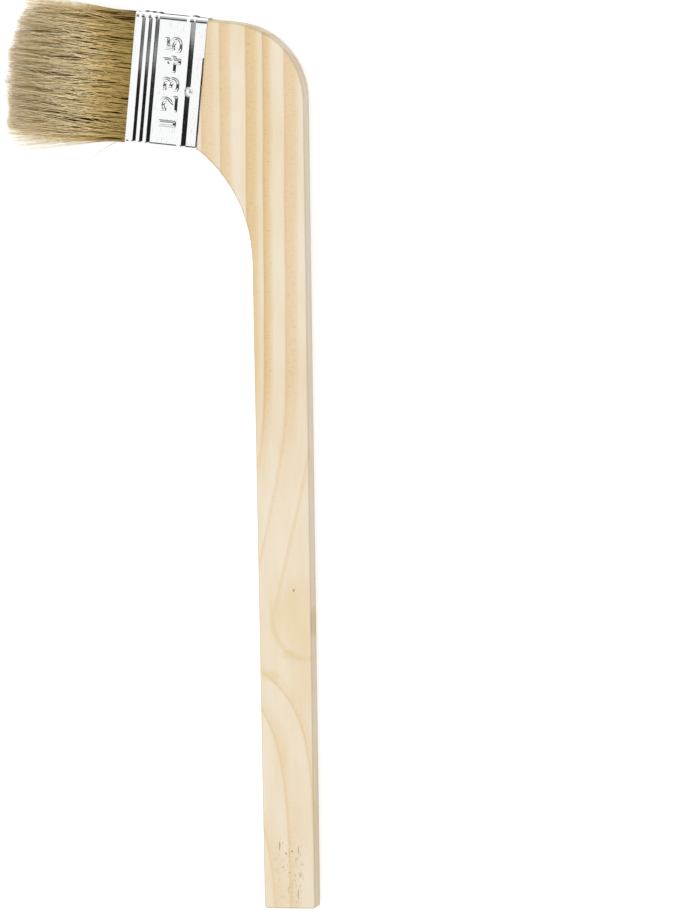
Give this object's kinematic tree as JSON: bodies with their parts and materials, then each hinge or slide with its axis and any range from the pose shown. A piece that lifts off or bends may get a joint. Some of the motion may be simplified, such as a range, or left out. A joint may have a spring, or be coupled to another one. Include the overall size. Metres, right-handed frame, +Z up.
{
  "type": "pastry brush",
  "caption": "Long-handled flat pastry brush: a one-piece pine handle with its head bent square to the shank, a beaded tin ferrule nailed on, and natural bristles.",
  "frame": {"origin": "middle of the underside of the box round the whole brush, where it lies on its back on a table", "axes": "+X to the right away from the bristle tips, +Y along the handle from its butt to the head, +Z up out of the front face"},
  "size_m": [0.1148, 0.3432, 0.0118],
  "materials": {
    "pine": "bare planed pine, sanded, no varnish",
    "tinned_steel": "bright tinned sheet with fine scratches",
    "nail_steel": "bright domed nail",
    "resin": "cured amber resin",
    "spacer_wood": "plain strip of wood",
    "bristle": "natural hog bristle, blond to golden brown"
  },
  "bodies": {
    "handle_and_ferrule": {"handle": "pine", "ferrule": "tinned_steel", "front_nail": "nail_steel", "back_nail": "nail_steel", "setting_resin": "resin", "bristle_spacer": "spacer_wood", "bristle_roots": "bristle"},
    "bristles": {"bristle_tuft": "bristle"}
  },
  "joints": [
    {"name": "bristle_flex", "type": "hinge", "parent": "handle_and_ferrule", "child": "bristles", "pos_m": [-0.01393, 0.1425, 0.0059], "axis": [0.1045, 0.9945, 0], "range_deg": [-35, 35], "stiffness_Nm_per_rad": 0.15}
  ]
}
